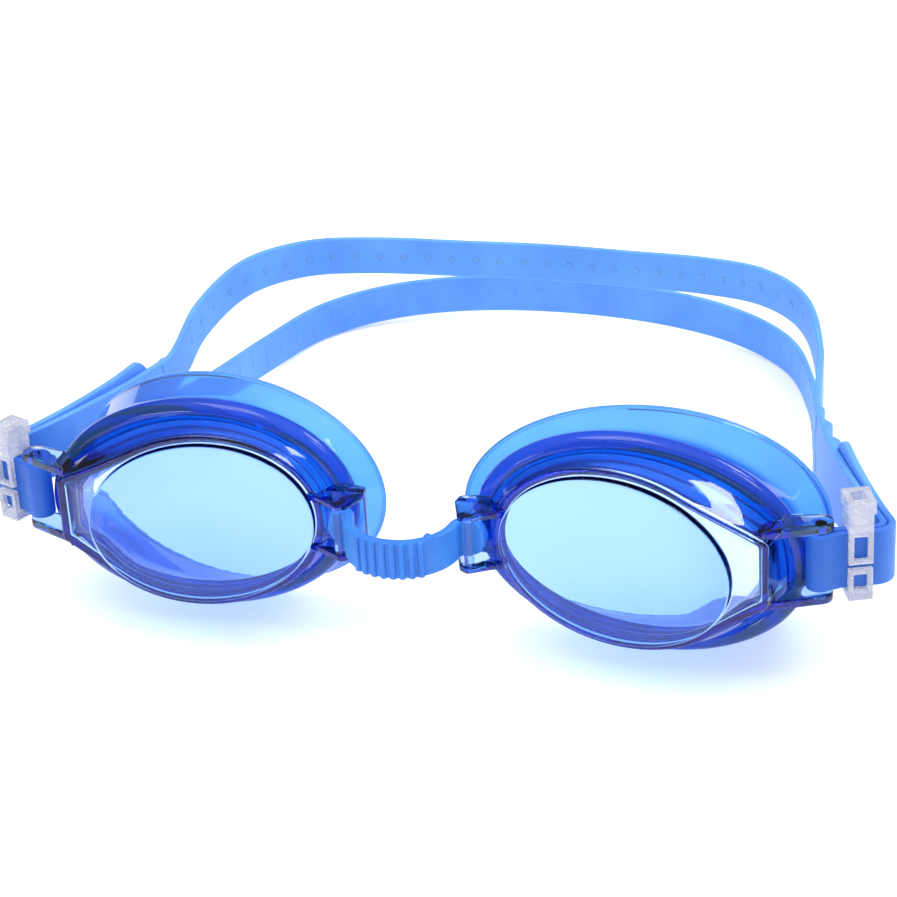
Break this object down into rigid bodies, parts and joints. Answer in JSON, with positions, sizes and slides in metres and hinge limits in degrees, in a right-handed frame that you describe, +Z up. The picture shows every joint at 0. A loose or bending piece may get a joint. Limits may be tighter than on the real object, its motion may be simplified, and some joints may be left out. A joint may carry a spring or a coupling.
{
  "type": "swim goggles",
  "caption": "Swim goggles: clear tinted lens cups with soft seals, a flexible nose bridge, a split silicone head strap and clear strap clips.",
  "frame": {"origin": "under the middle of the goggles, on the surface they stand on", "axes": "+X to the viewer's right when facing the lenses (the wearer's left), -Y the way the lenses face, +Y towards the back of the strap, +Z up"},
  "size_m": [0.1668, 0.121, 0.0442],
  "materials": {
    "lens": "polished clear tinted polycarbonate",
    "seal": "glossy translucent silicone",
    "bridge": "satin translucent silicone",
    "strap": "satin translucent silicone",
    "clip": "clear unpainted plastic, slightly frosted"
  },
  "bodies": {
    "strap": {"right_strap_end": "strap", "left_strap_end": "strap", "lower_strap_band": "strap"},
    "upper_band": {"upper_strap_band": "strap"},
    "left_eyecup": {"left_lens": "lens", "left_gasket": "seal"},
    "right_eyecup": {"right_lens": "lens", "right_gasket": "seal"},
    "nose_bridge": {"nose_bridge": "bridge"},
    "left_clip": {"left_clip": "clip"},
    "right_clip": {"right_clip": "clip"}
  },
  "joints": [
    {"name": "left_eyecup_swing", "type": "hinge", "parent": "strap", "child": "left_eyecup", "pos_m": [-0.07163, -0.0448, 0.02559], "axis": [0, 0.1668, 0.986], "range_deg": [-5, 5], "stiffness_Nm_per_rad": 0.02},
    {"name": "right_eyecup_swing", "type": "hinge", "parent": "strap", "child": "right_eyecup", "pos_m": [0.07163, -0.0448, 0.02559], "axis": [0, 0.1668, 0.986], "range_deg": [-5, 5], "stiffness_Nm_per_rad": 0.02},
    {"name": "bridge_turn", "type": "hinge", "parent": "left_eyecup", "child": "nose_bridge", "pos_m": [-0.01179, -0.05046, 0.02665], "axis": [0, 0.1668, 0.986], "range_deg": [-5, 5], "stiffness_Nm_per_rad": 0.004},
    {"name": "upper_band_lift", "type": "hinge", "parent": "strap", "child": "upper_band", "pos_m": [0, -0.0008, 0.01693], "axis": [1, 0, 0], "range_deg": [-3, 18], "stiffness_Nm_per_rad": 0.05},
    {"name": "left_clip_slide", "type": "slide", "parent": "strap", "child": "left_clip", "axis": [-0.9272, 0.3694, -0.0625], "range_m": [-0.0009, 0.0006]},
    {"name": "right_clip_slide", "type": "slide", "parent": "strap", "child": "right_clip", "axis": [0.9272, 0.3694, -0.0625], "range_m": [-0.0009, 0.0006]}
  ],
  "couplings": [
    {"joint": "right_eyecup_swing", "follows": "left_eyecup_swing", "ratio": -1},
    {"joint": "bridge_turn", "follows": "left_eyecup_swing", "ratio": -1}
  ]
}
